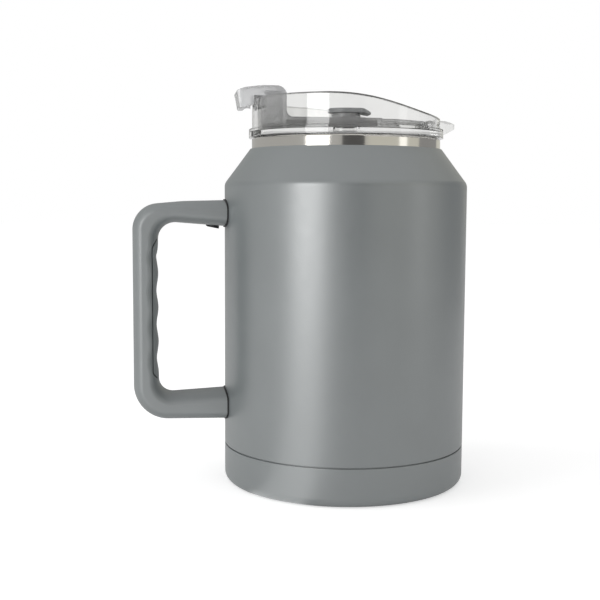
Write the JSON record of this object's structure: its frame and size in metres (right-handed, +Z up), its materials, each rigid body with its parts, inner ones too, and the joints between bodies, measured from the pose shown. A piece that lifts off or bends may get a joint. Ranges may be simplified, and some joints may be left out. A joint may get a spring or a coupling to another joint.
{
  "type": "insulated growler mug",
  "caption": "Vacuum-insulated steel growler mug with a bolted side handle, a separate base cap and a clear press-in lid whose hinged flip cap covers a sip opening and a straw hole.",
  "frame": {"origin": "centre of the base's resting face, on the body's axis", "axes": "+Z up along the body's axis; -X towards the handle and the sip opening; +X towards the lid's hinge and pull tab"},
  "size_m": [0.1788, 0.13, 0.2109],
  "materials": {
    "powder_paint": "satin grey powder coat",
    "handle_paint": "satin grey coat on moulded plastic",
    "soft_grip": "soft-touch, fine matte",
    "bare_steel": "turned stainless steel",
    "getter_alloy": "sintered",
    "sealing_glass": "fused solder glass",
    "black_rubber": "matte",
    "zinc_steel": "bright stainless",
    "clear_plastic": "clear copolyester, glossy",
    "smoke_plastic": "translucent smoke grey",
    "clear_silicone": "translucent silicone",
    "grey_silicone": "satin silicone"
  },
  "bodies": {
    "mug": {"outer_shell": "powder_paint", "inner_vessel": "bare_steel", "outer_bottom": "bare_steel", "getter": "getter_alloy", "evacuation_seal": "sealing_glass", "base_cap": "powder_paint", "handle": "handle_paint", "finger_grip": "soft_grip", "upper_gasket": "black_rubber", "lower_gasket": "black_rubber", "upper_bracket": "bare_steel", "lower_bracket": "bare_steel", "handle_screws": "zinc_steel", "upper_screw_plug": "black_rubber", "lower_screw_plug": "black_rubber"},
    "lid": {"lid_body": "clear_plastic", "lid_gasket": "clear_silicone", "hinge_pin": "zinc_steel"},
    "cap": {"flip_cap": "smoke_plastic", "spout_seal": "clear_silicone", "cap_seal": "clear_silicone"},
    "stopper": {"straw_plug": "grey_silicone"}
  },
  "joints": [
    {"name": "lid_lift", "type": "slide", "parent": "mug", "child": "lid", "axis": [0, 0, 1], "range_m": [0, 0.06]},
    {"name": "cap_hinge", "type": "hinge", "parent": "lid", "child": "cap", "pos_m": [0.044, 0, 0.1915], "axis": [0, 1, 0], "range_deg": [0, 90]},
    {"name": "stopper_pull", "type": "slide", "parent": "cap", "child": "stopper", "axis": [0, 0, 1], "range_m": [0, 0.03]}
  ]
}
